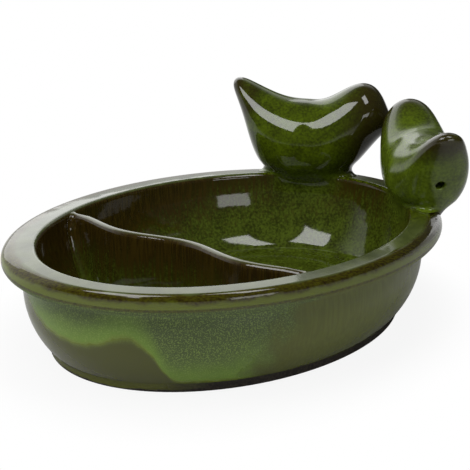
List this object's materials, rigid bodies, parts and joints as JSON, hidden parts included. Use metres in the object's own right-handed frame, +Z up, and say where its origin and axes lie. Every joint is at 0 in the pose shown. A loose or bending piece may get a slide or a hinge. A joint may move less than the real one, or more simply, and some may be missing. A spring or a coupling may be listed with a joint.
{
  "type": "ceramic bird bath and feeder dish",
  "caption": "Oval glazed stoneware dish with a flat rim, split by a wavy partition into a bath and a seed tray, with a pair of hollow birds perched beak to beak on the rim.",
  "frame": {"origin": "middle of the base of the object's bounding box, on the plane of the foot", "axes": "+X along the dish's long axis towards the birds, +Z up out of the dish"},
  "size_m": [0.3252, 0.242, 0.1353],
  "materials": {
    "green_glaze": "glossy",
    "bare_clay": "matte"
  },
  "bodies": {
    "root": {"dish": "green_glaze", "foot_ring": "bare_clay", "divider": "green_glaze", "seed_side_coil": "green_glaze", "bath_side_coil": "green_glaze", "rear_bird": "green_glaze", "rear_bird_saddle": "green_glaze", "side_bird": "green_glaze", "side_bird_saddle": "green_glaze"}
  },
  "joints": []
}
